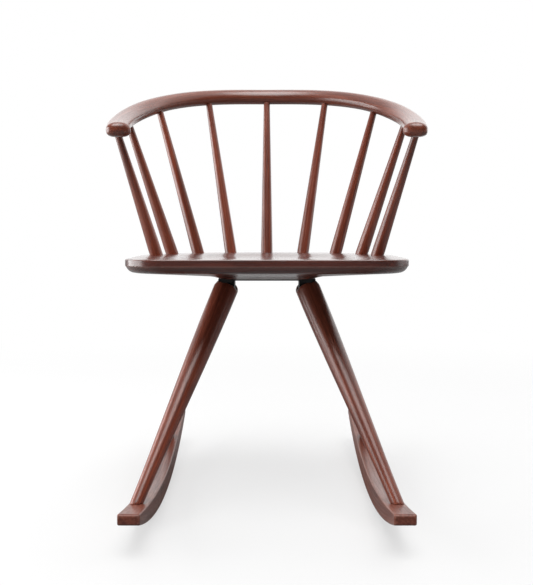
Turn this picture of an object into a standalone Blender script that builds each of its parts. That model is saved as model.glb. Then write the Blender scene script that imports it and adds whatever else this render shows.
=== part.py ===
"""Low-back spindle rocking chair: a solid seat, nine turned spindles under one bent arm bow, four
splayed legs bolted to a steel plate below the seat, and two crescent rockers.

Metres, +Z up. The floor is Z = 0, the sitter faces -Y, and the sitter's left is +X. The origin lies
on the floor, on the plane of symmetry, halfway along the rockers."""

import math

import bmesh
import bpy
from mathutils import Matrix, Vector

# ---- fits ----
GAP = 0.0003                 # left between two pieces that touch
SOCKET_END_GAP = 0.001       # between the end of a tenon and the bottom of its hole

# ---- rockers ----
ROCKER_LENGTH = 0.802
ROCKER_WIDTH = 0.034
ROCKER_X = 0.204             # middle of each rocker, from the plane of symmetry
ROCKER_RADIUS = 1.337        # of the running edge
ROCKER_REST_Y = -0.019       # where the running edge touches a level floor
ROCKER_DEPTH = 0.035         # of the blade at its thickest
ROCKER_THICK_Y = 0.045       # where the blade is thickest
ROCKER_TIP_DEPTH = 0.017
ROCKER_TAPER_POWER = 3.0     # how late the blade thins towards its tips
ROCKER_TIP_ROUND = 0.005
ROCKER_ARRIS = 0.0025
ROCKER_FACET = 0.03          # length of one flat of the running edge
ROCKER_STATIONS = 24         # along its upper edge

# ---- seat ----
SEAT_Y = -0.034              # centre of the round back of the seat
SEAT_HALF_WIDTH = 0.233
SEAT_FRONT_REACH = 0.231     # from SEAT_Y forward to the front edge
SEAT_CORNER = 0.060
SEAT_TOP = 0.4417
SEAT_EDGE = 0.0115           # upright band of the edge
SEAT_BEVEL_DROP = 0.0115
SEAT_BEVEL_INSET = 0.014
SEAT_CROWN_INSET = 0.40  # share of that inset at the crown of the bevel
SEAT_CROWN_DROP = 0.60  # share of that drop at the crown of the bevel
SEAT_ARRIS = 0.002
SEAT_THICKNESS = 0.0397      # at the flat belly, which the steel plate is screwed to
SEAT_BELLY_INSET = 0.155
SEAT_BELLY_STEP = 0.006
SEAT_BELLY_STEP_INSET = 0.020
SADDLE_DEPTH = 0.007
SADDLE_RIM_INSET = 0.052
SADDLE_FLAT_INSET = 0.120
SADDLE_MID_SHARE = 0.6       # of the depth, halfway between the rim and the flat
SEAT_BACK_STEPS = 24
SEAT_CORNER_STEPS = 6
SEAT_SIDE_STEPS = 3
SEAT_FRONT_STEPS = 6

# ---- spindles ----
SPINDLE_INSET = 0.027        # of the ring of sockets, from the seat's outline
SPINDLE_PITCH = math.radians(20.7)
SPINDLE_BASE_D = 0.0234
SPINDLE_TOP_D = 0.0130
SPINDLE_SEAT_DEPTH = 0.017   # that it goes into the seat
SPINDLE_BOW_DEPTH = 0.002    # that it passes the middle line of the bow
SPINDLE_STRAIGHT = 0.012     # of the foot above the seat, before the taper starts
SPINDLE_CHAMFER = 0.001
SPINDLES_A_SIDE = 4
BOW_SPACING = (0.0, 0.126, 0.251, 0.368, 0.454)   # along the bow from its middle to each spindle
ARM_SPINDLE_OUT = 0.0048     # of the last spindle's head, outward from the middle of the arm

# ---- arm bow ----
BOW_Y = -0.018               # centre of the bow's round back, in plan
BOW_RADIUS = 0.2680
BOW_ROUND = math.radians(96)  # half of the angle that the round back takes
ARM_RADIUS = 1.000           # of the flatter curve of each arm
ARM_LENGTH = 0.104
BACK_RISE = 0.3238           # of the middle of the section above the seat, at the back
ARM_RISE = 0.2177            # the same at the arm's end
BOW_RISE_POWER = 1.3         # how late the bow starts down from the back
ARM_WIDTH = 0.0416
ARM_THICKNESS = 0.0254
BACK_WIDTH = 0.0302
BACK_THICKNESS = 0.0244
BACK_TILT = math.radians(63) # the broad face is level on the arms, and this far from level at the back
TWIST_START = 0.200          # where along the bow it starts to turn from one to the other
TWIST_END = 0.430
BOW_CROWN = 2.2              # exponent of the superellipse that is the upper half of the section
BOW_SQUARENESS = 3.0         # the same for the flatter lower half
ARM_END_ROUND = 0.012
ARM_END_FLAT = 0.55          # share of the section that the rounding leaves at the very end
ARM_END_TURNS = (35, 60, 80)   # degrees round the end's rounding

# ---- legs ----
LEG_MID_Y = -0.035           # halfway between the front and the rear legs
LEG_FOOT_OFFSET = 0.0036     # of each foot, outward from the middle of its rocker
LEG_FOOT_REACH = 0.249       # of each foot, from LEG_MID_Y
LEG_TOP_X = 0.0733
LEG_TOP_REACH = 0.0240
LEG_FOOT_D = 0.0206
LEG_TOP_D = 0.0440
LEG_TOP_ROUND = 0.0050
LEG_TOP_DROP = 0.0025        # from the plate down to the highest point of a leg's top
LEG_TENON_D = 0.0110
LEG_TENON_DEPTH = 0.015      # that it goes into the rocker
LEG_OVERLAP = 0.020          # spare length that the foot is cut from, and that the tenon runs up into
# how much of the swelling from foot to top is reached, at shares of the leg's length
LEG_SWELL = ((0.0, 0.0), (0.13, 0.08), (0.3, 0.29), (0.44, 0.47), (0.67, 0.77), (0.88, 0.96))

# ---- steel plate, wedge blocks and fasteners under the seat ----
PLATE_THICKNESS = 0.003
PLATE_SIDE_MARGIN = 0.002    # beyond the blocks
LUG_CLEARANCE = 0.006        # from the leg tops to the outer face of a lug
LUG_WIDTH = 0.018
LUG_LENGTH = 0.004
LUG_DROP = 0.0035            # below the plate
BLOCK_INWARD = 0.002         # of each block's middle, from that of the leg tops
BLOCK_HALF_WIDTH = 0.013
BLOCK_END_MARGIN = 0.006     # beyond the middles of the leg tops
STUD_D = 0.0080
STUD_IN_LEG = 0.028
STUD_IN_BLOCK = 0.0085
STUD_CHAMFER = 0.001
STUD_POINT = 0.004           # length of the point
SCREW_D = 0.0042
SCREW_HEAD_D = 0.0088
SCREW_LENGTH = 0.024
SCREW_POINT = 0.004
SCREW_X = (-0.046, 0.0, 0.046)
SCREW_REACH = 0.040          # of each row of screws, from LEG_MID_Y

CUT_OVERRUN = 0.010          # of a hole's cutter past the face it starts from
CUT_REACH = 0.060            # half the width of a cutter that trims a whole end

# ---- fineness of the round pieces ----
SIDES = 16
LEG_SIDES = 20
SMALL_SIDES = 10
BOW_STATIONS = 48
BOW_SECTION_POINTS = 14

# ---- sizes that follow from those above ----
SEAT_BELLY = SEAT_TOP - SEAT_THICKNESS
SPINDLE_RING = SEAT_HALF_WIDTH - SPINDLE_INSET
BOW_HALF_LENGTH = BOW_RADIUS * BOW_ROUND + ARM_LENGTH
PLATE_TOP = SEAT_BELLY - GAP
PLATE_BOTTOM = PLATE_TOP - PLATE_THICKNESS
PLATE_HALF_Y = LEG_TOP_REACH + LEG_TOP_D / 2 + LUG_CLEARANCE
BLOCK_X = LEG_TOP_X - BLOCK_INWARD
BLOCK_HALF_LENGTH = LEG_TOP_REACH + BLOCK_END_MARGIN
PLATE_HALF_X = BLOCK_X + BLOCK_HALF_WIDTH + PLATE_SIDE_MARGIN
UP = Vector((0, 0, 1))
SIDE_NAMES = {-1: "right", 1: "left"}
END_NAMES = {-1: "front", 1: "rear"}


# ---- scene helpers ----
def clear_scene():
    for thing in list(bpy.data.objects):
        bpy.data.objects.remove(thing, do_unlink=True)


def new_collection(name):
    collection = bpy.data.collections.new(name)
    bpy.context.scene.collection.children.link(collection)
    return collection


def material(name, colour, roughness, metallic=0.0):
    made = bpy.data.materials.new(name)
    made.use_nodes = True
    shader = made.node_tree.nodes["Principled BSDF"]
    shader.inputs["Base Color"].default_value = (*colour, 1.0)
    shader.inputs["Roughness"].default_value = roughness
    shader.inputs["Metallic"].default_value = metallic
    return made


def new_object(name, data, collection, look=None):
    thing = bpy.data.objects.new(name, data)
    collection.objects.link(thing)
    if look:
        data.materials.append(look)
    if collection is CUTTERS:
        thing.hide_render = True
        thing.display_type = "WIRE"
    return thing


def boolean(thing, operand, operation="DIFFERENCE"):
    step = thing.modifiers.new(operand.name, "BOOLEAN")
    step.object = operand
    step.operation = operation
    step.solver = "EXACT"


def along(origin, direction):
    """A matrix that puts local Z on direction, with its origin there."""
    turn = Vector(direction).to_track_quat("Z", "Y").to_matrix().to_4x4()
    return Matrix.Translation(origin) @ turn


# ---- shape helpers ----
def turned(name, profile, collection, sides, look=None):
    """A piece turned about local Z. The profile is (radius, height), from the top to the bottom."""
    mesh = bpy.data.meshes.new(name)
    bm = bmesh.new()
    points = [bm.verts.new((radius, 0, height)) for radius, height in profile]
    for first, second in zip(points, points[1:]):
        bm.edges.new((first, second))
    bm.to_mesh(mesh)
    bm.free()
    thing = new_object(name, mesh, collection, look)
    screw = thing.modifiers.new("turn", "SCREW")
    screw.steps = screw.render_steps = sides
    screw.use_merge_vertices = True
    screw.merge_threshold = 0.00001
    screw.use_smooth_shade = True
    return thing


def rod_profile(radius, top, bottom):
    return [(0, top), (radius, top), (radius, bottom), (0, bottom)]


def lofted(name, rings, collection, look):
    """A closed skin over rings that have the same number of points, with a flat cap at each end."""
    mesh = bpy.data.meshes.new(name)
    bm = bmesh.new()
    rows = [[bm.verts.new(point) for point in ring] for ring in rings]
    for row, following in zip(rows, rows[1:]):
        for index in range(len(row)):
            beside = (index + 1) % len(row)
            bm.faces.new((row[index], row[beside], following[beside], following[index]))
    bm.faces.new(reversed(rows[0]))
    bm.faces.new(rows[-1])
    bmesh.ops.recalc_face_normals(bm, faces=bm.faces)
    bm.to_mesh(mesh)
    bm.free()
    mesh.shade_smooth()
    mesh.set_sharp_from_angle(angle=math.radians(35))
    return new_object(name, mesh, collection, look)


def box(name, low, high, collection, look=None):
    mesh = bpy.data.meshes.new(name)
    bm = bmesh.new()
    size = Vector(high) - Vector(low)
    middle = (Vector(high) + Vector(low)) / 2
    bmesh.ops.create_cube(bm, size=1.0, matrix=Matrix.Translation(middle) @ Matrix.Diagonal((*size, 1)))
    bm.to_mesh(mesh)
    bm.free()
    return new_object(name, mesh, collection, look)


def round_edges(thing, width, segments=2):
    bevel = thing.modifiers.new("arris", "BEVEL")
    bevel.width = width
    bevel.segments = segments
    bevel.limit_method = "ANGLE"
    bevel.angle_limit = math.radians(35)


# ---- rockers ----
def rocker_bottom(y):
    return ROCKER_RADIUS - math.sqrt(ROCKER_RADIUS**2 - (y - ROCKER_REST_Y) ** 2)


def rocker_top(y):
    """The blade is a crescent: it thins towards each tip, slowly at first."""
    tip = math.copysign(ROCKER_LENGTH / 2, y - ROCKER_THICK_Y)
    share = (y - ROCKER_THICK_Y) / (tip - ROCKER_THICK_Y)
    depth = ROCKER_DEPTH - (ROCKER_DEPTH - ROCKER_TIP_DEPTH) * share**ROCKER_TAPER_POWER
    return rocker_bottom(y) + depth


def rocker_slope(y):
    step = 0.001
    return (rocker_top(y + step) - rocker_top(y - step)) / (2 * step)


def running_edge():
    """The ends of the flats of the running edge. One flat lies level on the floor at ROCKER_REST_Y."""
    reach = ROCKER_LENGTH / 2
    count = math.ceil(ROCKER_LENGTH / ROCKER_FACET)
    flats = [ROCKER_REST_Y + (index + 0.5) * ROCKER_FACET for index in range(-count, count)]
    inner = [y for y in flats if abs(y) < reach - ROCKER_FACET / 3]
    return [-reach, *inner, reach]


def rocker_outline():
    """(y, z) round the blade: along the running edge to the rear tip, and back along the top."""
    reach = ROCKER_LENGTH / 2
    sag = rocker_bottom(ROCKER_REST_Y + ROCKER_FACET / 2)
    below = [(y, rocker_bottom(y) - sag) for y in running_edge()]
    above = []
    for index in range(ROCKER_STATIONS + 1):
        y = (reach - ROCKER_TIP_ROUND) * math.cos(math.pi * index / ROCKER_STATIONS)
        above.append((y, rocker_top(y)))
    for end in (0, -1):
        y, z = above[end]
        side = 1 if end == 0 else -1
        corner = [
            (y + side * ROCKER_TIP_ROUND * math.sin(turn), z - ROCKER_TIP_ROUND * (1 - math.cos(turn)))
            for turn in (math.pi / 2, math.pi / 3, math.pi / 6)
        ]
        above = corner + above if end == 0 else above + corner[::-1]
    return below + above


def make_rocker(side, look):
    name = f"rocker_{SIDE_NAMES[side]}"
    curve = bpy.data.curves.new(name, "CURVE")
    curve.dimensions = "2D"
    curve.fill_mode = "BOTH"
    curve.extrude = ROCKER_WIDTH / 2
    outline = rocker_outline()
    spline = curve.splines.new("POLY")
    spline.points.add(len(outline) - 1)
    for point, (y, z) in zip(spline.points, outline):
        point.co = (y, z, 0, 1)
    spline.use_cyclic_u = True
    guide = bpy.data.objects.new(name + "_outline", curve)
    bpy.context.scene.collection.objects.link(guide)
    guide.matrix_world = Matrix(((0, 0, 1, side * ROCKER_X), (1, 0, 0, 0), (0, 1, 0, 0), (0, 0, 0, 1)))
    bpy.context.view_layer.update()
    mesh = bpy.data.meshes.new_from_object(guide.evaluated_get(bpy.context.evaluated_depsgraph_get()))
    placed = guide.matrix_world.copy()
    bpy.data.objects.remove(guide, do_unlink=True)
    bm = bmesh.new()
    bm.from_mesh(mesh)
    bmesh.ops.remove_doubles(bm, verts=bm.verts, dist=0.00001)
    bmesh.ops.recalc_face_normals(bm, faces=bm.faces)
    bm.to_mesh(mesh)
    bm.free()
    mesh.materials.clear()
    rocker = new_object(name, mesh, PARTS, look)
    rocker.matrix_world = placed
    round_edges(rocker, ROCKER_ARRIS)
    return rocker


# ---- seat ----
def corner_arc(middle, radius, start):
    """A quarter circle in plan, from the angle start."""
    turns = [start + math.pi / 2 * index / SEAT_CORNER_STEPS for index in range(SEAT_CORNER_STEPS + 1)]
    return [(middle[0] + radius * math.cos(turn), middle[1] + radius * math.sin(turn)) for turn in turns]


def plan_ring(inset, height):
    """The seat's outline, drawn in by inset: round at the back, with straight sides and front."""
    half = SEAT_HALF_WIDTH - inset
    front = SEAT_Y - SEAT_FRONT_REACH + inset
    corner = SEAT_CORNER * (1 - inset / SEAT_HALF_WIDTH)
    bend = front + corner
    points = []
    for index in range(SEAT_BACK_STEPS + 1):
        turn = math.pi * index / SEAT_BACK_STEPS
        points.append((half * math.cos(turn), SEAT_Y + half * math.sin(turn)))
    for index in range(1, SEAT_SIDE_STEPS):
        points.append((-half, SEAT_Y + (bend - SEAT_Y) * index / SEAT_SIDE_STEPS))
    points += corner_arc((corner - half, bend), corner, math.pi)
    for index in range(1, SEAT_FRONT_STEPS):
        points.append(((half - corner) * (2 * index / SEAT_FRONT_STEPS - 1), front))
    points += corner_arc((half - corner, bend), corner, -math.pi / 2)
    for index in range(1, SEAT_SIDE_STEPS):
        points.append((half, bend + (SEAT_Y - bend) * index / SEAT_SIDE_STEPS))
    return [(x, y, height) for x, y in points]


def make_seat(look):
    bevel_top = SEAT_TOP - SEAT_EDGE
    bevel_foot = bevel_top - SEAT_BEVEL_DROP
    saddle_slope = (SADDLE_RIM_INSET + SADDLE_FLAT_INSET) / 2
    rings = [
        plan_ring(SEAT_BELLY_INSET, SEAT_BELLY),
        plan_ring(SEAT_BELLY_INSET - SEAT_BELLY_STEP_INSET, SEAT_BELLY + SEAT_BELLY_STEP),
        plan_ring(SEAT_BEVEL_INSET, bevel_foot),
        plan_ring(SEAT_BEVEL_INSET * SEAT_CROWN_INSET, bevel_top - SEAT_BEVEL_DROP * SEAT_CROWN_DROP),
        plan_ring(0, bevel_top),
        plan_ring(0, SEAT_TOP - SEAT_ARRIS),
        plan_ring(SEAT_ARRIS, SEAT_TOP),
        plan_ring(SADDLE_RIM_INSET, SEAT_TOP),
        plan_ring(saddle_slope, SEAT_TOP - SADDLE_DEPTH * SADDLE_MID_SHARE),
        plan_ring(SADDLE_FLAT_INSET, SEAT_TOP - SADDLE_DEPTH),
    ]
    return lofted("seat", rings, PARTS, look)


# ---- arm bow ----
def bow_plan(distance):
    """(x, y) on the bow's middle line, at a distance along it from the middle of the back."""
    side = math.copysign(1, distance)
    length = abs(distance)
    turn = min(length / BOW_RADIUS, BOW_ROUND)
    beyond = max(0.0, length - BOW_RADIUS * BOW_ROUND)
    ahead = ARM_RADIUS * math.sin(beyond / ARM_RADIUS)
    inward = ARM_RADIUS * (1 - math.cos(beyond / ARM_RADIUS))
    x = (BOW_RADIUS - inward) * math.sin(turn) + ahead * math.cos(turn)
    y = BOW_Y + (BOW_RADIUS - inward) * math.cos(turn) - ahead * math.sin(turn)
    return side * x, y


def bow_point(distance):
    """The bow falls smoothly from the middle of the back to the end of each arm."""
    x, y = bow_plan(distance)
    travelled = abs(distance) / BOW_HALF_LENGTH
    share = 0.5 + 0.5 * math.cos(math.pi * travelled**BOW_RISE_POWER)
    return Vector((x, y, SEAT_TOP + ARM_RISE + (BACK_RISE - ARM_RISE) * share))


def bow_twist(distance):
    """0 on the arms, where the broad face is level, rising smoothly to 1 round the back."""
    share = (TWIST_END - abs(distance)) / (TWIST_END - TWIST_START)
    share = max(0.0, min(1.0, share))
    return share * share * (3 - 2 * share)


def bow_section(distance, scale=1.0):
    """A rounded section square to the bow. Its broad face turns from the top to the inside."""
    step = 0.001
    limit = BOW_HALF_LENGTH - step
    inside = max(-limit, min(limit, distance))
    forward = (bow_point(inside + step) - bow_point(inside - step)).normalized()
    outward = UP.cross(forward).normalized()
    upward = forward.cross(outward)
    twist = bow_twist(distance)
    tilt = BACK_TILT * twist
    across = outward * math.cos(tilt) + upward * math.sin(tilt)
    top = upward * math.cos(tilt) - outward * math.sin(tilt)
    half_width = (ARM_WIDTH + (BACK_WIDTH - ARM_WIDTH) * twist) / 2 * scale
    half_thickness = (ARM_THICKNESS + (BACK_THICKNESS - ARM_THICKNESS) * twist) / 2 * scale
    points = []
    for index in range(BOW_SECTION_POINTS):
        turn = 2 * math.pi * index / BOW_SECTION_POINTS
        exponent = 2 / (BOW_CROWN if math.sin(turn) > 0 else BOW_SQUARENESS)
        waves = (math.cos(turn), math.sin(turn))
        sideways, up = [math.copysign(abs(wave) ** exponent, wave) for wave in waves]
        points.append(bow_point(distance) + across * (half_width * sideways) + top * (half_thickness * up))
    return points


def make_bow(look):
    straight = BOW_HALF_LENGTH - ARM_END_ROUND
    stations = [(straight * (2 * index / BOW_STATIONS - 1), 1.0) for index in range(BOW_STATIONS + 1)]
    caps = []
    for degrees in ARM_END_TURNS:
        turn = math.radians(degrees)
        scale = ARM_END_FLAT + (1 - ARM_END_FLAT) * math.cos(turn)
        caps.append((straight + ARM_END_ROUND * math.sin(turn), scale))
    ends = [(-distance, scale) for distance, scale in reversed(caps)]
    rings = [bow_section(distance, scale) for distance, scale in ends + stations + caps]
    return lofted("arm_bow", rings, PARTS, look)


# ---- spindles ----
def spindle_line(number):
    """Where a spindle's middle line meets the seat, and where it reaches the middle of the bow."""
    turn = SPINDLE_PITCH * number
    foot = Vector((SPINDLE_RING * math.sin(turn), SEAT_Y + SPINDLE_RING * math.cos(turn), SEAT_TOP))
    head = bow_point(math.copysign(BOW_SPACING[abs(number)], number))
    if abs(number) == SPINDLES_A_SIDE:
        head.x += math.copysign(ARM_SPINDLE_OUT, number)
    return foot, head


def make_spindle(number, look, seat, bow):
    foot, head = spindle_line(number)
    name = f"spindle_{number + SPINDLES_A_SIDE + 1}"
    length = (head - foot).length
    top = length + SPINDLE_BOW_DEPTH
    base_radius, top_radius = SPINDLE_BASE_D / 2, SPINDLE_TOP_D / 2
    clear_of_bow = length - ARM_WIDTH / 2
    profile = [
        (0, top),
        (top_radius - SPINDLE_CHAMFER, top),
        (top_radius, top - SPINDLE_CHAMFER),
        (top_radius, clear_of_bow),
        (base_radius, SPINDLE_STRAIGHT),
        (base_radius, SPINDLE_CHAMFER - SPINDLE_SEAT_DEPTH),
        (base_radius - SPINDLE_CHAMFER, -SPINDLE_SEAT_DEPTH),
        (0, -SPINDLE_SEAT_DEPTH),
    ]
    spindle = turned(name, profile, PARTS, SIDES, look)
    place = along(foot, head - foot)
    spindle.matrix_world = place
    low, high = -SPINDLE_SEAT_DEPTH - SOCKET_END_GAP, top + SOCKET_END_GAP
    seat_hole = rod_profile(base_radius + GAP, SPINDLE_STRAIGHT, low)
    in_seat = turned(name + "_seat_socket", seat_hole, CUTTERS, SIDES)
    bow_hole = rod_profile(top_radius + GAP, high, clear_of_bow)
    in_bow = turned(name + "_bow_socket", bow_hole, CUTTERS, SIDES)
    for socket, piece in ((in_seat, seat), (in_bow, bow)):
        socket.matrix_world = place
        boolean(piece, socket)


# ---- legs ----
def leg_ends(side, end):
    """The middles of a leg's foot and top. The highest point of the tilted top stays below the plate."""
    y = LEG_MID_Y + end * LEG_FOOT_REACH
    foot = Vector((side * (ROCKER_X + LEG_FOOT_OFFSET), y, rocker_top(y) + GAP))
    top = Vector((side * LEG_TOP_X, LEG_MID_Y + end * LEG_TOP_REACH, PLATE_BOTTOM))
    for _ in range(6):
        tilt = (top - foot).angle(UP)
        rim = (LEG_TOP_D / 2 - LEG_TOP_ROUND) * math.sin(tilt) + LEG_TOP_ROUND * (1 - math.cos(tilt))
        top.z = PLATE_BOTTOM - LEG_TOP_DROP - rim
    return foot, top


def leg_profile(length):
    """Slim and nearly straight at the foot, swelling through the middle, with a rounded top."""
    radii = [
        (LEG_FOOT_D / 2 + (LEG_TOP_D - LEG_FOOT_D) / 2 * swell, length * travelled)
        for travelled, swell in LEG_SWELL
    ]
    below = (LEG_FOOT_D / 2, -LEG_OVERLAP)
    top_radius = LEG_TOP_D / 2
    rim = []
    for turn in (math.pi / 2, math.pi / 4, 0):
        inner = top_radius - LEG_TOP_ROUND
        rim.append((inner + LEG_TOP_ROUND * math.cos(turn), length - LEG_TOP_ROUND * (1 - math.sin(turn))))
    return [(0, length), *rim, *radii[::-1], below, (0, below[1])]


def make_leg(side, end, look, rocker):
    foot, top = leg_ends(side, end)
    name = f"leg_{END_NAMES[end]}_{SIDE_NAMES[side]}"
    direction = (top - foot).normalized()
    length = (top - foot).length
    place = along(foot, direction)
    leg = turned(name, leg_profile(length), PARTS, LEG_SIDES, look)
    leg.matrix_world = place

    low, high = (-CUT_REACH, -CUT_REACH, -CUT_REACH), (CUT_REACH, CUT_REACH, 0)
    below = box(name + "_foot_cut", low, high, CUTTERS)
    below.matrix_world = Matrix.Translation(foot) @ Matrix.Rotation(math.atan(rocker_slope(foot.y)), 4, "X")
    boolean(leg, below)
    tenon_radius = LEG_TENON_D / 2
    tongue = rod_profile(tenon_radius, LEG_OVERLAP, -LEG_TENON_DEPTH)
    tenon = turned(name + "_tenon", tongue, CUTTERS, SIDES)
    tenon.matrix_world = place
    boolean(leg, tenon, "UNION")
    hole = rod_profile(tenon_radius + GAP, LEG_OVERLAP, -LEG_TENON_DEPTH - SOCKET_END_GAP)
    mortise = turned(name + "_mortise", hole, CUTTERS, SIDES)
    mortise.matrix_world = place
    boolean(rocker, mortise)

    stud_hole = rod_profile(STUD_D / 2 + GAP, CUT_OVERRUN, -STUD_IN_LEG - SOCKET_END_GAP)
    bore = turned(name + "_stud_hole", stud_hole, CUTTERS, SMALL_SIDES)
    bore.matrix_world = along(top, direction)
    boolean(leg, bore)


# ---- steel under the seat ----
def make_plate(look):
    low = (-PLATE_HALF_X, LEG_MID_Y - PLATE_HALF_Y, PLATE_BOTTOM)
    high = (PLATE_HALF_X, LEG_MID_Y + PLATE_HALF_Y, PLATE_TOP)
    plate = box("mount_plate", low, high, PARTS, look)
    for side in (-1, 1):
        for end in (-1, 1):
            edge = LEG_MID_Y + end * PLATE_HALF_Y
            inner = edge - end * LUG_LENGTH
            low = (side * BLOCK_X - LUG_WIDTH / 2, min(edge, inner), PLATE_BOTTOM - LUG_DROP)
            high = (side * BLOCK_X + LUG_WIDTH / 2, max(edge, inner), PLATE_TOP - PLATE_THICKNESS / 2)
            lug = box(f"lug_{END_NAMES[end]}_{SIDE_NAMES[side]}", low, high, CUTTERS)
            boolean(plate, lug, "UNION")
    return plate


def make_block(side, look):
    """The wedge that two leg tops bear on: its two lower faces are square to the legs."""
    low = (side * BLOCK_X - BLOCK_HALF_WIDTH, LEG_MID_Y - BLOCK_HALF_LENGTH, PLATE_BOTTOM - CUT_REACH / 2)
    high = (side * BLOCK_X + BLOCK_HALF_WIDTH, LEG_MID_Y + BLOCK_HALF_LENGTH, PLATE_BOTTOM - GAP)
    block = box(f"leg_block_{SIDE_NAMES[side]}", low, high, PARTS, look)
    for end in (-1, 1):
        foot, top = leg_ends(side, end)
        direction = (top - foot).normalized()
        name = f"{block.name}_{END_NAMES[end]}"
        low, high = (-CUT_REACH, -CUT_REACH, -CUT_REACH), (CUT_REACH, CUT_REACH, GAP)
        below = box(name + "_face_cut", low, high, CUTTERS)
        below.matrix_world = along(top, direction)
        boolean(block, below)
        hole = rod_profile(STUD_D / 2 + GAP, STUD_IN_BLOCK + SOCKET_END_GAP, -CUT_OVERRUN)
        bore = turned(name + "_stud_hole", hole, CUTTERS, SMALL_SIDES)
        bore.matrix_world = along(top, direction)
        boolean(block, bore)


def make_stud(side, end, look):
    foot, top = leg_ends(side, end)
    radius = STUD_D / 2
    profile = [
        (0, STUD_IN_BLOCK),
        (radius - STUD_CHAMFER, STUD_IN_BLOCK),
        (radius, STUD_IN_BLOCK - STUD_CHAMFER),
        (radius, STUD_POINT - STUD_IN_LEG),
        (radius / 3, -STUD_IN_LEG),
        (0, -STUD_IN_LEG),
    ]
    stud = turned(f"leg_stud_{END_NAMES[end]}_{SIDE_NAMES[side]}", profile, PARTS, SMALL_SIDES, look)
    stud.matrix_world = along(top, top - foot)


def screw_profile(grow):
    """A countersunk wood screw pointing up, from its tip to its head; grow makes the hole for it."""
    shank, head = SCREW_D / 2 + grow, SCREW_HEAD_D / 2 + grow
    cone = head - shank
    mouth = -CUT_OVERRUN if grow else 0
    return [
        (0, SCREW_LENGTH + grow),
        (shank / 4, SCREW_LENGTH + grow),
        (shank, SCREW_LENGTH - SCREW_POINT),
        (shank, cone + grow),
        (head, grow),
        (head, mouth),
        (0, mouth),
    ]


def make_screws(look, plate, seat):
    number = 0
    for end in (-1, 1):
        for x in SCREW_X:
            number += 1
            place = Matrix.Translation((x, LEG_MID_Y + end * SCREW_REACH, PLATE_BOTTOM))
            screw = turned(f"plate_screw_{number}", screw_profile(0.0), PARTS, SMALL_SIDES, look)
            screw.matrix_world = place
            hole = turned(f"plate_screw_{number}_hole", screw_profile(GAP), CUTTERS, SMALL_SIDES)
            hole.matrix_world = place
            boolean(plate, hole)
            boolean(seat, hole)


def build():
    walnut = {"roughness": 0.32}
    seat = make_seat(material("seat_wood", (0.105, 0.036, 0.022), **walnut))
    bow = make_bow(material("bow_wood", (0.125, 0.042, 0.026), **walnut))
    for number in range(-SPINDLES_A_SIDE, SPINDLES_A_SIDE + 1):
        look = material(f"spindle_wood_{number + SPINDLES_A_SIDE + 1}", (0.115, 0.036, 0.022), **walnut)
        make_spindle(number, look, seat, bow)
    plate = make_plate(material("plate_steel", (0.018, 0.017, 0.017), 0.5, 0.6))
    for side in (-1, 1):
        blade = material(f"rocker_wood_{SIDE_NAMES[side]}", (0.085, 0.032, 0.022), **walnut)
        rocker = make_rocker(side, blade)
        make_block(side, material(f"block_steel_{SIDE_NAMES[side]}", (0.022, 0.020, 0.020), 0.5, 0.6))
        for end in (-1, 1):
            name = f"leg_wood_{END_NAMES[end]}_{SIDE_NAMES[side]}"
            make_leg(side, end, material(name, (0.135, 0.045, 0.024), **walnut), rocker)
            name = f"stud_steel_{END_NAMES[end]}_{SIDE_NAMES[side]}"
            make_stud(side, end, material(name, (0.45, 0.44, 0.42), 0.35, 1.0))
    make_screws(material("screw_steel", (0.05, 0.05, 0.05), 0.4, 1.0), plate, seat)


clear_scene()
PARTS = new_collection("rocking_chair")
CUTTERS = new_collection("cutters")
build()
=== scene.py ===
"""The looks of a low-back spindle rocking chair in stained, satin-lacquered hardwood.

Metres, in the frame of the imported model: +Z up, the sitter faces -Y, the sitter's left is +X."""
import math

import bmesh
import bpy
import numpy as np
from mathutils import Matrix, Vector


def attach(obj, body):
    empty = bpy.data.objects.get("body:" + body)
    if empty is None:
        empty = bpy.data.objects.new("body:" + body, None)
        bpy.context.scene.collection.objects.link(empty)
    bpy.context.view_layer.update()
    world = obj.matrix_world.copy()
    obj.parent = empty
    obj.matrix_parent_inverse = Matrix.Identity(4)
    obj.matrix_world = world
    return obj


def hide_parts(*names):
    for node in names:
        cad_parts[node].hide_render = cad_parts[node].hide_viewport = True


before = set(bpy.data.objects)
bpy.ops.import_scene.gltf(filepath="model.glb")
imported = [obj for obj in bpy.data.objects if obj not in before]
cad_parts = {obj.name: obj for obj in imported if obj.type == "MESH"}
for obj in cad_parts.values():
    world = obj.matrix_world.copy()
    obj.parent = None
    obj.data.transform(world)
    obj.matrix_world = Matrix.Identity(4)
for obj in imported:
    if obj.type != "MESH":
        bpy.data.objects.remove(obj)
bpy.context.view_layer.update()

# ---- rockers ----
ROCKER_LENGTH = 0.802
ROCKER_WIDTH = 0.034
ROCKER_X = 0.204
ROCKER_RADIUS = 1.337
ROCKER_REST_Y = -0.019
ROCKER_DEPTH = 0.035
ROCKER_THICK_Y = 0.045
ROCKER_TIP_DEPTH = 0.017
ROCKER_TAPER_POWER = 3.0
ROCKER_ARRIS = 0.0026
ROCKER_TIP_ROUND = 0.0042
ROCKER_TIP_INSET = 0.0001
ROCKER_TIP_LIFT = 0.0026
ROCKER_TIP_NARROWING = 0.0022
ROCKER_TIP_STEPS = 8
ROCKER_STATIONS = 150
TIP_RINGS = (0.25, 0.5, 0.75, 0.94)

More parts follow.
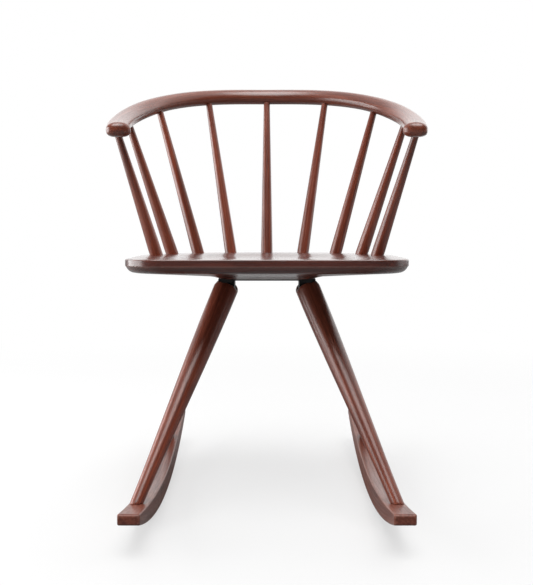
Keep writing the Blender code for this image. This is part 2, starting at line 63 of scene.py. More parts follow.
# ---- seat ----
SEAT_Y = -0.034
SEAT_HALF_WIDTH = 0.233
SEAT_FRONT_REACH = 0.231
SEAT_CORNER = 0.060
SEAT_TOP = 0.4417
SEAT_EDGE = 0.0115
SEAT_BEVEL_DROP = 0.0115
SEAT_BEVEL_INSET = 0.014
SEAT_BEVEL_CROWN = 0.0024
BEVEL_OUT = 0.63
BEVEL_DOWN = 0.77
SEAT_THICKNESS = 0.0397
SEAT_MIDDLE_INSET = 0.222
SEAT_BELLY_INSET = 0.155
SEAT_BELLY_STEP = 0.006
SEAT_BELLY_STEP_INSET = 0.020
SADDLE_DEPTH = 0.007
SADDLE_RIM_INSET = 0.052
SADDLE_FLAT_INSET = 0.120
SEAT_ROUND_POINTS = 97
SEAT_SIDE_POINTS = 15
SEAT_CORNER_POINTS = 15
SEAT_FRONT_POINTS = 33
SEAT_TOP_RINGS = 44
SEAT_TOP_START = 0.010
SEAT_BELLY_RINGS = 5
SEAT_BELLY_MARGIN = 0.010
SEAT_BETWEEN_SHARES = (0.1, 0.25, 0.4, 0.55, 0.7)
ARRIS_STEPS = 5

# ---- spindles ----
SPINDLE_INSET = 0.027
SPINDLE_PITCH = math.radians(20.7)
SPINDLE_BASE_D = 0.0234
SPINDLE_TOP_D = 0.0130
SPINDLES_A_SIDE = 4
BOW_SPACING = (0.0, 0.126, 0.251, 0.368, 0.454)
ARM_SPINDLE_OUT = 0.0048
SPINDLE_STRAIGHT = 0.012
SPINDLE_SUNK = 0.008
SPINDLE_SIDES = 40
SPINDLE_FOOT_ZONE = 0.020
SPINDLE_HEAD_ZONE = 0.024
SPINDLE_SHAFT_MARGIN = 0.030

# ---- arm bow ----
BOW_Y = -0.018
BOW_RADIUS = 0.2680
BOW_ROUND = math.radians(96)
ARM_RADIUS = 1.000
ARM_LENGTH = 0.104
BACK_RISE = 0.3238
ARM_RISE = 0.2177
BOW_RISE_POWER = 1.3
ARM_WIDTH = 0.0416
ARM_THICKNESS = 0.0254
BACK_WIDTH = 0.0302
BACK_THICKNESS = 0.0244
BACK_TILT = math.radians(63)
TWIST_START = 0.200
TWIST_END = 0.430
BOW_CROWN = 2.2
BOW_SQUARENESS = 3.0
BOW_SANDED = 0.994
ARM_END_DOME = 0.0118
ARM_END_SQUARENESS = 2.3
ARM_END_SCALES = (0.998, 0.99, 0.975, 0.95, 0.91, 0.85, 0.77, 0.66, 0.52, 0.36, 0.18)
BOW_STATIONS = 241
BOW_SIDES = 72
BOW_HALF_LENGTH = BOW_RADIUS * BOW_ROUND + ARM_LENGTH

# ---- legs ----
LEG_MID_Y = -0.035
LEG_FOOT_OFFSET = 0.0036
LEG_FOOT_REACH = 0.249
LEG_TOP_X = 0.0733
LEG_TOP_REACH = 0.0240
LEG_FOOT_D = 0.0206
LEG_TOP_D = 0.0440
LEG_TOP_ROUND = 0.0050
LEG_TOP_DROP = 0.0025
LEG_SIDES = 56
LEG_PROFILE_START = 0.030
# (share of the foot's radius, lift, wear) where the foot is scribed to the rocker
LEG_FOOT_RINGS = (
    (0.45, 0.0, 0.0),
    (0.80, 0.0, 0.0),
    (0.93, 0.0, 0.2),
    (0.975, 0.0004, 0.3),
    (1.0, 0.0012, 0.1),
)
LEG_RISE_SHARES = (0.12, 0.3, 0.55, 0.8)
LEG_TOP_SHARES = (0.7, 0.4)
# (share of the length, share of the swelling)
LEG_SWELL = ((0.0, 0.0), (0.13, 0.08), (0.3, 0.29), (0.44, 0.47), (0.67, 0.77), (0.88, 0.96), (1.0, 1.0))

# ---- steel under the seat ----
GAP = 0.0003
PLATE_THICKNESS = 0.003
PLATE_BOTTOM = SEAT_TOP - SEAT_THICKNESS - GAP - PLATE_THICKNESS

SIDE_NAMES = {-1: "right", 1: "left"}
END_NAMES = {-1: "front", 1: "rear"}
UP = Vector((0, 0, 1))


# ---- meshes ----
def finished(name, mesh, look, slot, *nodes):
    """Put a mesh in the scene as a piece that stands for those CAD nodes."""
    mesh.materials.append(look)
    piece = bpy.data.objects.new(name, mesh)
    bpy.context.scene.collection.objects.link(piece)
    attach(piece, "root")
    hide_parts(*nodes)


def skin(name, rings, grain, wear):
    """A smooth closed skin over rings of points, each end drawn together to one point.

    grain gives each point's place in the timber, metres, its X along the fibres. wear is 1 on the
    arrises that hands and sanding have thinned, and 0 on the faces."""
    rings = np.asarray(rings, float)
    rows, around = rings.shape[:2]
    grain = np.asarray(grain, float)
    wear = np.broadcast_to(np.asarray(wear, float), (rows, around))
    points = np.concatenate([rings.reshape(-1, 3), [rings[0].mean(0)], [rings[-1].mean(0)]])
    places = np.concatenate([grain.reshape(-1, 3), [grain[0].mean(0)], [grain[-1].mean(0)]])
    worn = np.concatenate([wear.reshape(-1), [wear[0].mean()], [wear[-1].mean()]])
    faces = []
    for row in range(rows - 1):
        for index in range(around):
            beside = (index + 1) % around
            low, high = row * around, (row + 1) * around
            faces.append((low + index, low + beside, high + beside, high + index))
    for index in range(around):
        beside = (index + 1) % around
        last = (rows - 1) * around
        faces.append((beside, index, rows * around))
        faces.append((last + index, last + beside, rows * around + 1))
    mesh = bpy.data.meshes.new(name)
    mesh.from_pydata(points.tolist(), [], faces)
    bm = bmesh.new()
    bm.from_mesh(mesh)
    bmesh.ops.recalc_face_normals(bm, faces=bm.faces)
    bm.to_mesh(mesh)
    bm.free()
    mesh.shade_smooth()
    mesh.attributes.new("grain", "FLOAT_VECTOR", "POINT").data.foreach_set("vector", places.reshape(-1))
    mesh.attributes.new("wear", "FLOAT", "POINT").data.foreach_set("value", worn)
    return mesh


def smooth(share):
    """0 to 1 with an easy start and finish."""
    share = min(1.0, max(0.0, share))
    return share * share * (3 - 2 * share)


def mixed(low, high, share):
    return low + (high - low) * share


# ---- shader nodes ----
class Nodes:
    """Short names for building one node tree."""

    def __init__(self, tree):
        self.tree = tree

    def add(self, kind, inputs=(), **settings):
        node = self.tree.nodes.new("ShaderNode" + kind)
        for key, value in settings.items():
            setattr(node, key, value)
        for key, value in dict(inputs).items():
            self.put(node.inputs[key], value)
        return node

    def put(self, socket, value):
        if isinstance(value, bpy.types.NodeSocket):
            self.tree.links.new(value, socket)
        elif isinstance(value, bpy.types.Node):
            self.tree.links.new(value.outputs[0], socket)
        else:
            socket.default_value = value

    def math(self, operation, first, second):
        return self.add("Math", {0: first, 1: second}, operation=operation).outputs[0]

    def remap(self, value, low, high, new_low, new_high):
        inputs = {"Value": value, "From Min": low, "From Max": high, "To Min": new_low, "To Max": new_high}
        return self.add("MapRange", inputs, interpolation_type="SMOOTHSTEP").outputs[0]

    def blend(self, share, first, second):
        node = self.add("Mix", data_type="RGBA")
        self.put(node.inputs["Factor"], share)
        self.put(node.inputs["A"], first)
        self.put(node.inputs["B"], second)
        return node.outputs["Result"]

    def stretched(self, vector, scale, detail, rough, warp=0.0):
        """Noise drawn out by a scale for each axis; about 0 to 1."""
        place = self.add("Mapping", {"Vector": vector, "Scale": scale}, vector_type="POINT")
        inputs = {"Vector": place, "Scale": 1.0, "Detail": detail, "Roughness": rough, "Distortion": warp}
        return self.add("TexNoise", inputs).outputs[0]


def new_material(name):
    made = bpy.data.materials.new(name)
    made.use_nodes = True
    shader = made.node_tree.nodes["Principled BSDF"]
    return made, shader, Nodes(made.node_tree)


def linear(*colour):
    """A colour's linear value, from its 0 to 255 screen value."""
    share = [level / 255 for level in colour]
    return (*[c / 12.92 if c <= 0.04045 else ((c + 0.055) / 1.055) ** 2.4 for c in share], 1.0)


# wood seen through thin lacquer on the arrises
WORN = linear(150, 112, 100)


def stained_wood(name, dark, mid, light, gloss=0.06, coat=1.0):
    """Close-grained timber under a brown stain and a satin lacquer."""
    made, shader, n = new_material(name)
    grain = n.add("Attribute", attribute_name="grain", attribute_type="GEOMETRY").outputs["Vector"]
    wear = n.add("Attribute", attribute_name="wear", attribute_type="GEOMETRY").outputs["Fac"]
    band = n.stretched(grain, (2.2, 46, 46), 3, 0.55, 0.6)
    streak = n.stretched(grain, (9, 330, 330), 3, 0.6, 0.15)
    fibre = n.stretched(grain, (38, 1500, 1500), 2, 0.5)
    pore = n.stretched(grain, (85, 2300, 2300), 1, 0.5)
    cloud = n.stretched(grain, (6, 16, 16), 2, 0.5)
    flow = n.remap(band, 0.34, 0.66, 0, 1)
    colour = n.blend(flow, dark, mid)
    colour = n.blend(n.remap(streak, 0.42, 0.72, 0, 0.75), colour, light)
    colour = n.blend(n.remap(streak, 0.46, 0.26, 0, 0.45), colour, dark)
    colour = n.blend(n.remap(cloud, 0.35, 0.7, 0, 0.28), colour, light)
    colour = n.blend(n.remap(fibre, 0.35, 0.7, 0.10, -0.10), colour, dark)
    sunk = n.remap(pore, 0.60, 0.70, 0, 1)
    dim = n.blend(0.55, dark, (0, 0, 0, 1))
    colour = n.blend(n.math("MULTIPLY", sunk, 0.55), colour, dim)
    patches = n.stretched(grain, (40, 120, 120), 3, 0.6)
    rubbed = n.math("MULTIPLY", wear, n.remap(patches, 0.25, 0.75, 0.45, 1.0))
    colour = n.blend(n.math("MULTIPLY", rubbed, 0.75), colour, WORN)
    n.put(shader.inputs["Base Color"], colour)
    rough = n.remap(streak, 0.3, 0.7, 0.40 - gloss, 0.33 - gloss)
    rough = n.math("ADD", rough, n.remap(cloud, 0.3, 0.7, 0.0, 0.05))
    rough = n.math("ADD", rough, n.math("MULTIPLY", rubbed, 0.06))
    n.put(shader.inputs["Roughness"], n.math("ADD", rough, n.math("MULTIPLY", sunk, 0.15)))
    height = n.math("ADD", n.math("MULTIPLY", streak, 0.5), n.math("MULTIPLY", fibre, 0.35))
    height = n.math("SUBTRACT", height, n.math("MULTIPLY", sunk, 0.6))
    bump = n.add("Bump", {"Strength": 0.22, "Distance": 0.0004, "Height": height})
    n.put(shader.inputs["Normal"], bump)
    shader.inputs["IOR"].default_value = 1.45
    shader.inputs["Specular IOR Level"].default_value = 0.4
    shader.inputs["Coat Weight"].default_value = coat
    shader.inputs["Coat Roughness"].default_value = 0.24
    shader.inputs["Coat IOR"].default_value = 1.5
    return made


def powder_steel(name):
    """Black powder coat: fine pimples, and a little grey where edges have been knocked."""
    made, shader, n = new_material(name)
    place = n.add("TexCoord").outputs["Object"]
    fine = n.stretched(place, (1900, 1900, 1900), 2, 0.5)
    broad = n.stretched(place, (70, 70, 70), 3, 0.6)
    colour = n.blend(n.remap(broad, 0.3, 0.7, 0, 1), linear(20, 19, 19), linear(34, 32, 31))
    edge = n.add("Attribute", attribute_name="wear", attribute_type="GEOMETRY").outputs["Fac"]
    chipped = n.math("MULTIPLY", edge, n.remap(broad, 0.45, 0.62, 0, 0.7))
    n.put(shader.inputs["Base Color"], n.blend(chipped, colour, linear(96, 94, 92)))
    n.put(shader.inputs["Roughness"], n.remap(broad, 0.3, 0.7, 0.36, 0.50))
    bump = n.add("Bump", {"Strength": 0.35, "Distance": 0.0002, "Height": fine})
    n.put(shader.inputs["Normal"], bump)
    shader.inputs["Metallic"].default_value = 0.35
    return made


def plain_steel(name, dark, light, rough):
    """Machined steel, with turning marks and a faint bloom."""
    made, shader, n = new_material(name)
    place = n.add("TexCoord").outputs["Object"]
    marks = n.stretched(place, (900, 900, 4200), 2, 0.5)
    bloom = n.stretched(place, (160, 160, 160), 3, 0.6)
    n.put(shader.inputs["Base Color"], n.blend(n.remap(bloom, 0.3, 0.7, 0, 1), dark, light))
    n.put(shader.inputs["Roughness"], n.remap(bloom, 0.3, 0.7, rough, rough + 0.14))
    n.put(shader.inputs["Normal"], n.add("Bump", {"Strength": 0.25, "Distance": 0.0001, "Height": marks}))
    shader.inputs["Metallic"].default_value = 1.0
    return made


# ---- rockers ----
def rocker_bottom(y):
    return ROCKER_RADIUS - math.sqrt(ROCKER_RADIUS**2 - (y - ROCKER_REST_Y) ** 2)


def rocker_top(y):
    tip = math.copysign(ROCKER_LENGTH / 2, y - ROCKER_THICK_Y)
    share = (y - ROCKER_THICK_Y) / (tip - ROCKER_THICK_Y)
    depth = ROCKER_DEPTH - (ROCKER_DEPTH - ROCKER_TIP_DEPTH) * share**ROCKER_TAPER_POWER
    return rocker_bottom(y) + depth


def rocker_slope(y):
    step = 0.001
    return (rocker_top(y + step) - rocker_top(y - step)) / (2 * step)


def rounded_rectangle(half_x, low, high, radius, corner_steps=6, side_steps=5):
    """(x, z, how near the arris) round a rectangle with rounded corners."""
    right, left, top, foot = half_x - radius, radius - half_x, high - radius, low + radius
    middles = ((right, top), (left, top), (left, foot), (right, foot))
    points = []
    for quarter, (x, z) in enumerate(middles):
        for step in range(corner_steps + 1):
            turn = math.pi / 2 * (quarter + step / corner_steps)
            near = math.sin(math.pi * (0.15 + 0.7 * step / corner_steps))
            points.append((x + radius * math.cos(turn), z + radius * math.sin(turn), near))
        start = points[-1]
        turn = math.pi / 2 * (quarter + 1)
        x, z = middles[(quarter + 1) % 4]
        aim = (x + radius * math.cos(turn), z + radius * math.sin(turn))
        for step in range(1, side_steps):
            share = step / side_steps
            points.append((mixed(start[0], aim[0], share), mixed(start[1], aim[1], share), 0.0))
    return points


def make_rocker(side, look):
    """A crescent blade, sawn to its curve, with softened arrises and a rounded upper edge at each tip."""
    tip = ROCKER_LENGTH / 2 - ROCKER_TIP_INSET
    front = []
    for step in range(ROCKER_TIP_STEPS + 1):
        share = step / ROCKER_TIP_STEPS
        front.append((-tip + ROCKER_TIP_ROUND * (1 - math.cos(math.pi / 2 * share)), share))
    between = np.linspace(-tip + ROCKER_TIP_ROUND, tip - ROCKER_TIP_ROUND, ROCKER_STATIONS)[1:-1]
    rear = [(-y, share) for y, share in front[::-1]]
    rings, grain, wear = [], [], []
    for y, share in front + [(y, 1.0) for y in between] + rear:
        # share runs from 0 on the flat of the tip to 1 where its rounding is over
        drawn = 1 - math.sin(math.pi / 2 * share)
        top = rocker_top(math.copysign(min(abs(y), tip - ROCKER_TIP_ROUND), y)) - ROCKER_TIP_ROUND * drawn
        low = rocker_bottom(y) + ROCKER_TIP_LIFT * drawn
        half = ROCKER_WIDTH / 2 - ROCKER_TIP_NARROWING * drawn
        outline = rounded_rectangle(half, low, top, ROCKER_ARRIS)
        rings.append([(side * ROCKER_X + x, y, z) for x, z, near in outline])
        along = ROCKER_RADIUS * math.asin((y - ROCKER_REST_Y) / ROCKER_RADIUS)
        grain.append([(along + side * 3.1, x + side * 0.7, z - rocker_bottom(y)) for x, z, near in outline])
        wear.append([max(near * 0.45, 0.3 * drawn * (share > 0)) for x, z, near in outline])
    # flat rings inside the rim of each tip
    inside = np.array(TIP_RINGS)[:, None, None]
    for made in (rings, grain):
        first = inside * np.array(made[0]) + (1 - inside) * np.mean(made[0], 0)
        last = inside * np.array(made[-1]) + (1 - inside) * np.mean(made[-1], 0)
        made[:] = [*first, *made, *last[::-1]]
    flat = [[0.0] * len(outline)] * len(TIP_RINGS)
    wear = flat + wear + flat
    name = f"rocker_{SIDE_NAMES[side]}"
    finished(name + "_blade", skin(name, rings, grain, wear), look, "rocker_wood", name)


# ---- seat ----
def plan_ring(inset, height):
    """The seat's outline drawn in by inset, at that height or at a height for each point."""
    share = 1 - inset / SEAT_HALF_WIDTH
    half = SEAT_HALF_WIDTH - inset
    front = SEAT_Y - SEAT_FRONT_REACH + inset
    corner = SEAT_CORNER * share
    turns = np.linspace(0, math.pi, SEAT_ROUND_POINTS)
    back = [(half * math.cos(turn), SEAT_Y + half * math.sin(turn)) for turn in turns]
    sides = np.linspace(SEAT_Y, front + corner, SEAT_SIDE_POINTS)[1:-1]
    turns = np.linspace(0, math.pi / 2, SEAT_CORNER_POINTS)
    rounding = [(corner * (1 - math.cos(turn)), corner * (1 - math.sin(turn))) for turn in turns]
    points = back + [(-half, y) for y in sides]
    points += [(-half + x, front + y) for x, y in rounding]
    points += [(x, front) for x in np.linspace(-half + corner, half - corner, SEAT_FRONT_POINTS)[1:-1]]
    points += [(half - y, front + x) for x, y in rounding]
    points += [(half, y) for y in sides[::-1]]
    return [(x, y, height) for x, y in points]


def saddle(inset):
    """Height of the seat's top at that inset."""
    share = (inset - SADDLE_RIM_INSET) / (SADDLE_FLAT_INSET - SADDLE_RIM_INSET)
    return SEAT_TOP - SADDLE_DEPTH * smooth(share)


def arris(corner, before, after, radius):
    """Rounds a corner of a profile: points from the line before to the line after it."""
    corner, before, after = (np.array(p, float) for p in (corner, before, after))
    into = corner + (before - corner) / np.linalg.norm(before - corner) * radius
    out = corner + (after - corner) / np.linalg.norm(after - corner) * radius
    shares = np.linspace(0, 1, ARRIS_STEPS + 1)
    return [tuple((1 - t) ** 2 * into + 2 * t * (1 - t) * corner + t**2 * out) for t in shares]


def make_seat(look):
    belly = SEAT_TOP - SEAT_THICKNESS
    edge_foot = SEAT_TOP - SEAT_EDGE
    bevel_foot = edge_foot - SEAT_BEVEL_DROP
    step_inset = SEAT_BELLY_INSET - SEAT_BELLY_STEP_INSET
    # (inset, height), radius, wear
    corners = [
        ((SEAT_BELLY_INSET, belly), 0.006, 0.0),
        ((step_inset, belly + SEAT_BELLY_STEP), 0.008, 0.0),
        ((SEAT_BEVEL_INSET, bevel_foot), 0.0014, 0.10),
        ((0.0, edge_foot), 0.0011, 0.75),
        ((0.0, SEAT_TOP), 0.0022, 0.15),
    ]
    path = [corner for corner, radius, worn in corners]
    path = [(SEAT_MIDDLE_INSET, belly), *path, (SADDLE_RIM_INSET, SEAT_TOP)]
    insets = np.linspace(SEAT_MIDDLE_INSET, SEAT_BELLY_INSET + SEAT_BELLY_MARGIN, SEAT_BELLY_RINGS)
    profile = [(inset, belly, 0.0) for inset in insets]
    for index, (corner, radius, worn) in enumerate(corners):
        rounded = arris(corner, path[index], path[index + 2], radius)
        for step, (inset, z) in enumerate(rounded):
            profile.append((inset, z, worn * math.sin(math.pi * (0.1 + 0.8 * step / ARRIS_STEPS))))
        if index < len(corners) - 1:
            start, end = rounded[-1], corners[index + 1][0]
            bulge = SEAT_BEVEL_CROWN if corner[1] == bevel_foot else 0.0
            for share in SEAT_BETWEEN_SHARES:
                out = bulge * math.sin(math.pi * (0.12 + 0.95 * share))
                inset = mixed(start[0], end[0], share) - out * BEVEL_OUT
                profile.append((inset, mixed(start[1], end[1], share) - out * BEVEL_DOWN, 0.0))
    insets = np.linspace(SEAT_TOP_START, SEAT_MIDDLE_INSET, SEAT_TOP_RINGS)
    profile += [(inset, saddle(inset), 0.0) for inset in insets]
    rings = [plan_ring(inset, z) for inset, z, worn in profile]
    wear = [[worn] * len(rings[0]) for inset, z, worn in profile]
    mesh = skin("seat", rings, rings, wear)
    finished("seat_board", mesh, look, "seat_wood", "seat")


# ---- arm bow ----
def bow_plan(distance):
    side = math.copysign(1, distance)
    length = abs(distance)
    turn = min(length / BOW_RADIUS, BOW_ROUND)
    beyond = max(0.0, length - BOW_RADIUS * BOW_ROUND)
    ahead = ARM_RADIUS * math.sin(beyond / ARM_RADIUS)
    inward = ARM_RADIUS * (1 - math.cos(beyond / ARM_RADIUS))
    x = (BOW_RADIUS - inward) * math.sin(turn) + ahead * math.cos(turn)
    y = BOW_Y + (BOW_RADIUS - inward) * math.cos(turn) - ahead * math.sin(turn)
    return side * x, y


def bow_point(distance):
    x, y = bow_plan(distance)
    share = 0.5 + 0.5 * math.cos(math.pi * (abs(distance) / BOW_HALF_LENGTH) ** BOW_RISE_POWER)
    return Vector((x, y, SEAT_TOP + ARM_RISE + (BACK_RISE - ARM_RISE) * share))


def bow_ring(distance, scale):
    """(points, their places in the timber) of one section, square to the bow."""
    step = 0.001
    limit = BOW_HALF_LENGTH - step
    inside = max(-limit, min(limit, distance))
    forward = (bow_point(inside + step) - bow_point(inside - step)).normalized()
    outward = UP.cross(forward).normalized()
    upward = forward.cross(outward)
    twist = smooth((TWIST_END - abs(distance)) / (TWIST_END - TWIST_START))
    tilt = BACK_TILT * twist
    across = outward * math.cos(tilt) + upward * math.sin(tilt)
    top = upward * math.cos(tilt) - outward * math.sin(tilt)
    half_width = mixed(ARM_WIDTH, BACK_WIDTH, twist) / 2 * scale * BOW_SANDED
    half_thickness = mixed(ARM_THICKNESS, BACK_THICKNESS, twist) / 2 * scale * BOW_SANDED
    middle = bow_point(distance)
    points, places = [], []
    for turn in np.linspace(0, 2 * math.pi, BOW_SIDES, endpoint=False):
        exponent = 2 / (BOW_CROWN if math.sin(turn) > 0 else BOW_SQUARENESS)
        sideways = math.copysign(abs(math.cos(turn)) ** exponent, math.cos(turn))
        up = math.copysign(abs(math.sin(turn)) ** exponent, math.sin(turn))
        points.append(middle + across * (half_width * sideways) + top * (half_thickness * up))
        places.append((distance + 11.0, half_width * sideways, half_thickness * up))
    return points, places


def make_bow(look):
    straight = BOW_HALF_LENGTH - ARM_END_DOME
    stations = [(distance, 1.0) for distance in np.linspace(-straight, straight, BOW_STATIONS)]
    dome = []
    for scale in ARM_END_SCALES:
        reach = (1 - scale**ARM_END_SQUARENESS) ** (1 / ARM_END_SQUARENESS)
        dome.append((straight + ARM_END_DOME * reach, scale))
    ends = [(-distance, scale) for distance, scale in dome[::-1]]
    rings = [bow_ring(distance, scale) for distance, scale in ends + stations + dome]
    mesh = skin("arm_bow", [r[0] for r in rings], [r[1] for r in rings], 0.0)
    finished("arm_bow_rail", mesh, look, "bow_wood", "arm_bow")


# ---- turned pieces ----
def turned_rings(profile, sides):
    """Rings about local Z from (radius, height) pairs."""
    turns = np.linspace(0, 2 * math.pi, sides, endpoint=False)
    return np.array([[(r * math.cos(t), r * math.sin(t), h) for t in turns] for r, h in profile])


def placed(rings, origin, direction):
    """The rings with local Z along direction, from origin."""
    turn = Vector(direction).to_track_quat("Z", "Y").to_matrix().to_4x4()
    matrix = np.array(Matrix.Translation(origin) @ turn)
    return rings @ matrix[:3, :3].T + matrix[:3, 3]


def make_spindle(number, look):
    turn = SPINDLE_PITCH * number
    ring = SEAT_HALF_WIDTH - SPINDLE_INSET
    foot = Vector((ring * math.sin(turn), SEAT_Y + ring * math.cos(turn), SEAT_TOP))
    head = bow_point(math.copysign(BOW_SPACING[abs(number)], number))
    if abs(number) == SPINDLES_A_SIDE:
        head.x += math.copysign(ARM_SPINDLE_OUT, number)
    length = (head - foot).length
    heights = [
        *np.linspace(-SPINDLE_SUNK, SPINDLE_FOOT_ZONE, 6),
        *np.linspace(SPINDLE_SHAFT_MARGIN, length - SPINDLE_SHAFT_MARGIN, 34),
        *np.linspace(length - SPINDLE_HEAD_ZONE, length, 6),
    ]
    taper_end = length - ARM_WIDTH / 2
    profile = []
    for height in heights:
        share = min(1.0, max(0.0, (height - SPINDLE_STRAIGHT) / (taper_end - SPINDLE_STRAIGHT)))
        profile.append((mixed(SPINDLE_BASE_D, SPINDLE_TOP_D, share) / 2, height))
    rings = turned_rings(profile, SPINDLE_SIDES)
    grain = rings[:, :, [2, 0, 1]] + np.array((number * 1.7 + 20.0, number * 0.31, number * 0.17))
    name = f"spindle_{number + SPINDLES_A_SIDE + 1}"
    mesh = skin(name, placed(rings, foot, head - foot), grain, 0.0)
    finished(name + "_rod", mesh, look, "spindle_wood", name)


# ---- legs ----
def leg_ends(side, end):
    """The middle of the foot and of the top, the top set just clear of the plate."""
    y = LEG_MID_Y + end * LEG_FOOT_REACH
    foot = Vector((side * (ROCKER_X + LEG_FOOT_OFFSET), y, rocker_top(y) + GAP))
    top = Vector((side * LEG_TOP_X, LEG_MID_Y + end * LEG_TOP_REACH, PLATE_BOTTOM))
    for _ in range(6):
        tilt = (top - foot).angle(UP)
        rim = (LEG_TOP_D / 2 - LEG_TOP_ROUND) * math.sin(tilt) + LEG_TOP_ROUND * (1 - math.cos(tilt))
        top.z = PLATE_BOTTOM - LEG_TOP_DROP - rim
    return foot, top


def swell(travelled):
    """The share of the swelling reached, along a smooth curve through LEG_SWELL."""
    places = [place for place, reached in LEG_SWELL]
    heights = [reached for place, reached in LEG_SWELL]
    slopes = np.gradient(heights, places)
    slopes[0], slopes[-1] = 0.25, 0.1
    index = min(len(places) - 2, max(0, int(np.searchsorted(places, travelled)) - 1))
    width = places[index + 1] - places[index]
    t = (travelled - places[index]) / width
    return (
        (2 * t**3 - 3 * t**2 + 1) * heights[index]
        + (t**3 - 2 * t**2 + t) * width * slopes[index]
        + (3 * t**2 - 2 * t**3) * heights[index + 1]
        + (t**3 - t**2) * width * slopes[index + 1]
    )


def make_leg(side, end, look):
    foot, top = leg_ends(side, end)
    direction = (top - foot).normalized()
    length = (top - foot).length
    heights = np.linspace(LEG_PROFILE_START, length - LEG_TOP_ROUND - 0.004, 44)
    profile = [(mixed(LEG_FOOT_D, LEG_TOP_D, swell(h / length)) / 2, h) for h in heights]
    worn = [0.0] * len(profile)
    inner = LEG_TOP_D / 2 - LEG_TOP_ROUND
    for turn in np.linspace(0, math.pi / 2, 10):
        drop = LEG_TOP_ROUND * (1 - math.sin(turn))
        profile.append((inner + LEG_TOP_ROUND * math.cos(turn), length - drop))
        worn.append(0.3 * math.sin(2 * turn))
    profile += [(inner * share, length) for share in LEG_TOP_SHARES]
    worn += [0.0] * len(LEG_TOP_SHARES)
    rings = turned_rings(profile, LEG_SIDES)
    whole = placed(rings, foot, direction)
    # the foot is scribed to the top of the rocker, with a small arris
    slope = math.atan(rocker_slope(foot.y))
    normal = np.array((0, -math.sin(slope), math.cos(slope)))
    axis = np.array(direction)
    lowest = []
    for shrink, lift, rubbed in LEG_FOOT_RINGS:
        start = placed(turned_rings([(LEG_FOOT_D / 2 * shrink, 0.0)], LEG_SIDES), foot, direction)[0]
        travel = -((start - np.array(foot)) @ normal) / (axis @ normal)
        lowest.append(start + travel[:, None] * axis + axis * lift)
    rise = [lowest[-1] * (1 - share) + whole[0] * share for share in LEG_RISE_SHARES]
    all_rings = np.array([*lowest, *rise, *whole])
    local = (all_rings - np.array(foot)) @ np.array(Vector(direction).to_track_quat("Z", "Y").to_matrix())
    grain = local[:, :, [2, 0, 1]] + np.array((side * 2.3 + end * 5.9 + 40, side * 0.4, end * 0.6))
    foot_wear = [rubbed for shrink, lift, rubbed in LEG_FOOT_RINGS]
    wear = np.array([*foot_wear, *[0.0] * len(rise), *worn])[:, None]
    name = f"leg_{END_NAMES[end]}_{SIDE_NAMES[side]}"
    finished(name + "_post", skin(name, all_rings, grain, wear), look, "leg_wood", name)


# ---- light, floor and camera ----
def soft_light(name, at, towards, width, height, power):
    light = bpy.data.lights.new(name, "AREA")
    light.shape = "RECTANGLE"
    light.size, light.size_y = width, height
    light.energy = power
    lamp = bpy.data.objects.new(name, light)
    bpy.context.scene.collection.objects.link(lamp)
    lamp.location = at
    lamp.rotation_euler = (Vector(towards) - Vector(at)).to_track_quat("-Z", "Y").to_euler()
    lamp.visible_camera = False


FLOOR_SIZE = 40.0
FLOOR_DROP = 0.0002
CAMERA_PLACE = (-0.0007, -1.786, 0.4955)
CAMERA_DIP = math.radians(3.963)
CAMERA_LENS = 59.0769

# name, place, what it points at, width, height, watts
SOFT_LIGHTS = (
    ("left_softbox", (-2.2, -0.15, 0.80), (0, 0, 0.45), 2.5, 1.5, 58),
    ("right_softbox", (2.4, 0.0, 0.7), (0, 0, 0.4), 1.2, 1.0, 3),
    ("overhead_right", (1.4, 0.1, 2.2), (0, 0, 0.4), 2.0, 2.2, 13),
    ("overhead_left", (-0.9, -0.1, 2.5), (0, 0, 0.4), 2.0, 2.2, 10),
)

# brightness added towards (direction), from none at the first cosine to the full strength at the second
STUDIO_LOBES = (
    ((0.80, 0.58, 0.10), 0.80, 0.98, 0.3),
    ((0.0, -0.44, 0.90), 0.88, 0.97, 6.0),
    ((0.35, 0.45, 0.82), 0.75, 0.97, 0.3),
)


def make_world():
    """A white studio: bright behind and at the sides, darker where the photographer stands."""
    world = bpy.data.worlds.new("studio")
    bpy.context.scene.world = world
    world.use_nodes = True
    tree = world.node_tree
    n = Nodes(tree)
    backdrop = tree.nodes["Background"]
    place = n.add("TexCoord").outputs["Generated"]
    parts = n.add("SeparateXYZ", {0: place}).outputs
    x, y = parts["X"], parts["Y"]
    level = n.remap(y, -0.15, 0.75, 0.04, 1.15)
    for towards, wide, narrow, strength in STUDIO_LOBES:
        facing = n.add("VectorMath", {0: place, 1: Vector(towards).normalized()}, operation="DOT_PRODUCT")
        level = n.math("ADD", level, n.remap(facing.outputs["Value"], wide, narrow, 0.0, strength))
    level = n.math("MULTIPLY", level, n.remap(x, -0.8, -0.1, 0.6, 1.0))
    seen = n.add("LightPath").outputs["Is Camera Ray"]
    lift = n.math("MULTIPLY", seen, n.math("SUBTRACT", 1.0, level))
    n.put(backdrop.inputs["Strength"], n.math("ADD", lift, level))
    backdrop.inputs["Color"].default_value = (1, 1, 1, 1)


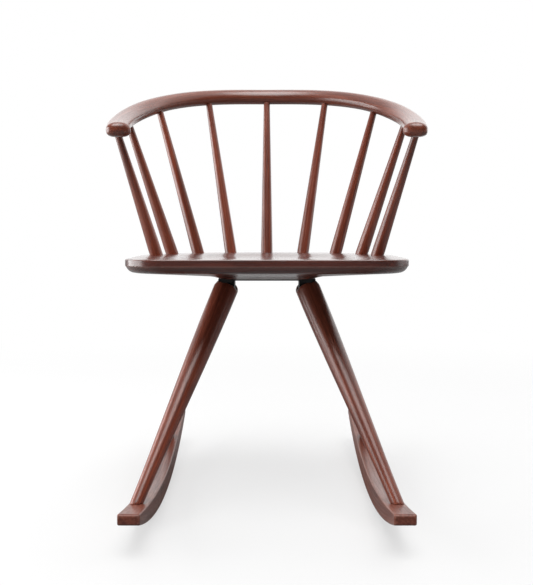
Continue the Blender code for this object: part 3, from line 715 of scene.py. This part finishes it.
def make_floor():
    """A pale floor that runs into the white of the studio a few metres off."""
    mesh = bpy.data.meshes.new("floor")
    bm = bmesh.new()
    below = Matrix.Translation((0, 0, -FLOOR_DROP))
    bmesh.ops.create_grid(bm, x_segments=8, y_segments=8, size=FLOOR_SIZE, matrix=below)
    bm.to_mesh(mesh)
    bm.free()
    made, shader, n = new_material("white_floor")
    tree = made.node_tree
    shader.inputs["Base Color"].default_value = (0.60, 0.60, 0.60, 1)
    shader.inputs["Roughness"].default_value = 0.6
    shader.inputs["Specular IOR Level"].default_value = 0.1
    place = n.add("TexCoord").outputs["Object"]
    distance = n.add("VectorMath", {0: place}, operation="LENGTH").outputs["Value"]
    paint = n.add("Emission", {"Strength": 1.0})
    lift = n.add("MixShader", {0: n.remap(distance, 0.8, 2.4, 0.60, 1), 1: shader, 2: paint})
    grey = n.add("BsdfDiffuse", {"Color": (0.22, 0.22, 0.22, 1)})
    seen = n.add("LightPath").outputs["Is Camera Ray"]
    both = n.add("MixShader", {0: seen, 1: grey, 2: lift})
    n.put(tree.nodes["Material Output"].inputs["Surface"], both)
    mesh.materials.append(made)
    floor = bpy.data.objects.new("floor", mesh)
    bpy.context.scene.collection.objects.link(floor)


def make_camera():
    """In front of the chair, just above the seat, looking slightly down."""
    data = bpy.data.cameras.new("view")
    data.sensor_width = 36.0
    data.lens = CAMERA_LENS
    camera = bpy.data.objects.new("view", data)
    bpy.context.scene.collection.objects.link(camera)
    camera.location = CAMERA_PLACE
    camera.rotation_euler = (math.pi / 2 - CAMERA_DIP, 0, 0)
    bpy.context.scene.camera = camera


# darkest, middle and lightest tone of each stain; the seat's tones are the same stain set darker, as
# painted shade standing in for the shade on its front band
seat_tones_with_painted_shade = [linear(52, 20, 15), linear(80, 35, 27), linear(104, 52, 42)]
bow_tones = [linear(84, 34, 20), linear(116, 54, 35), linear(140, 74, 52)]
spindle_tones = [linear(92, 38, 22), linear(126, 57, 37), linear(148, 77, 54)]
leg_tones = [linear(90, 38, 23), linear(124, 57, 38), linear(148, 79, 58)]
rocker_tones = [linear(78, 34, 25), linear(110, 56, 42), linear(134, 79, 62)]
# the seat's darker tones are painted shade for its dim front band
seat_wood = stained_wood("seat_wood", *seat_tones_with_painted_shade, gloss=0.12)
bow_wood = stained_wood("bow_wood", *bow_tones)
spindle_wood = stained_wood("spindle_wood", *spindle_tones)
leg_wood = stained_wood("leg_wood", *leg_tones, coat=0.5)
rocker_wood = stained_wood("rocker_wood", *rocker_tones, coat=0.1)
black_steel = powder_steel("black_steel")
zinc_steel = plain_steel("zinc_steel", linear(150, 148, 142), linear(186, 184, 178), 0.28)
screw_steel = plain_steel("screw_steel", linear(52, 50, 50), linear(84, 82, 80), 0.30)

make_camera()
make_world()
make_floor()
make_seat(seat_wood)
make_bow(bow_wood)
for number in range(-SPINDLES_A_SIDE, SPINDLES_A_SIDE + 1):
    make_spindle(number, spindle_wood)
for side in (-1, 1):
    make_rocker(side, rocker_wood)
    for end in (-1, 1):
        make_leg(side, end, leg_wood)
steel_looks = {
    "mount_plate": black_steel,
    "leg_block": black_steel,
    "leg_stud": zinc_steel,
    "plate_screw": screw_steel,
}
for name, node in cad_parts.items():
    for start, look in steel_looks.items():
        if name.startswith(start):
            node.data.materials.clear()
            node.data.materials.append(look)
for light in SOFT_LIGHTS:
    soft_light(*light)

bpy.context.scene.view_settings.view_transform = "Standard"
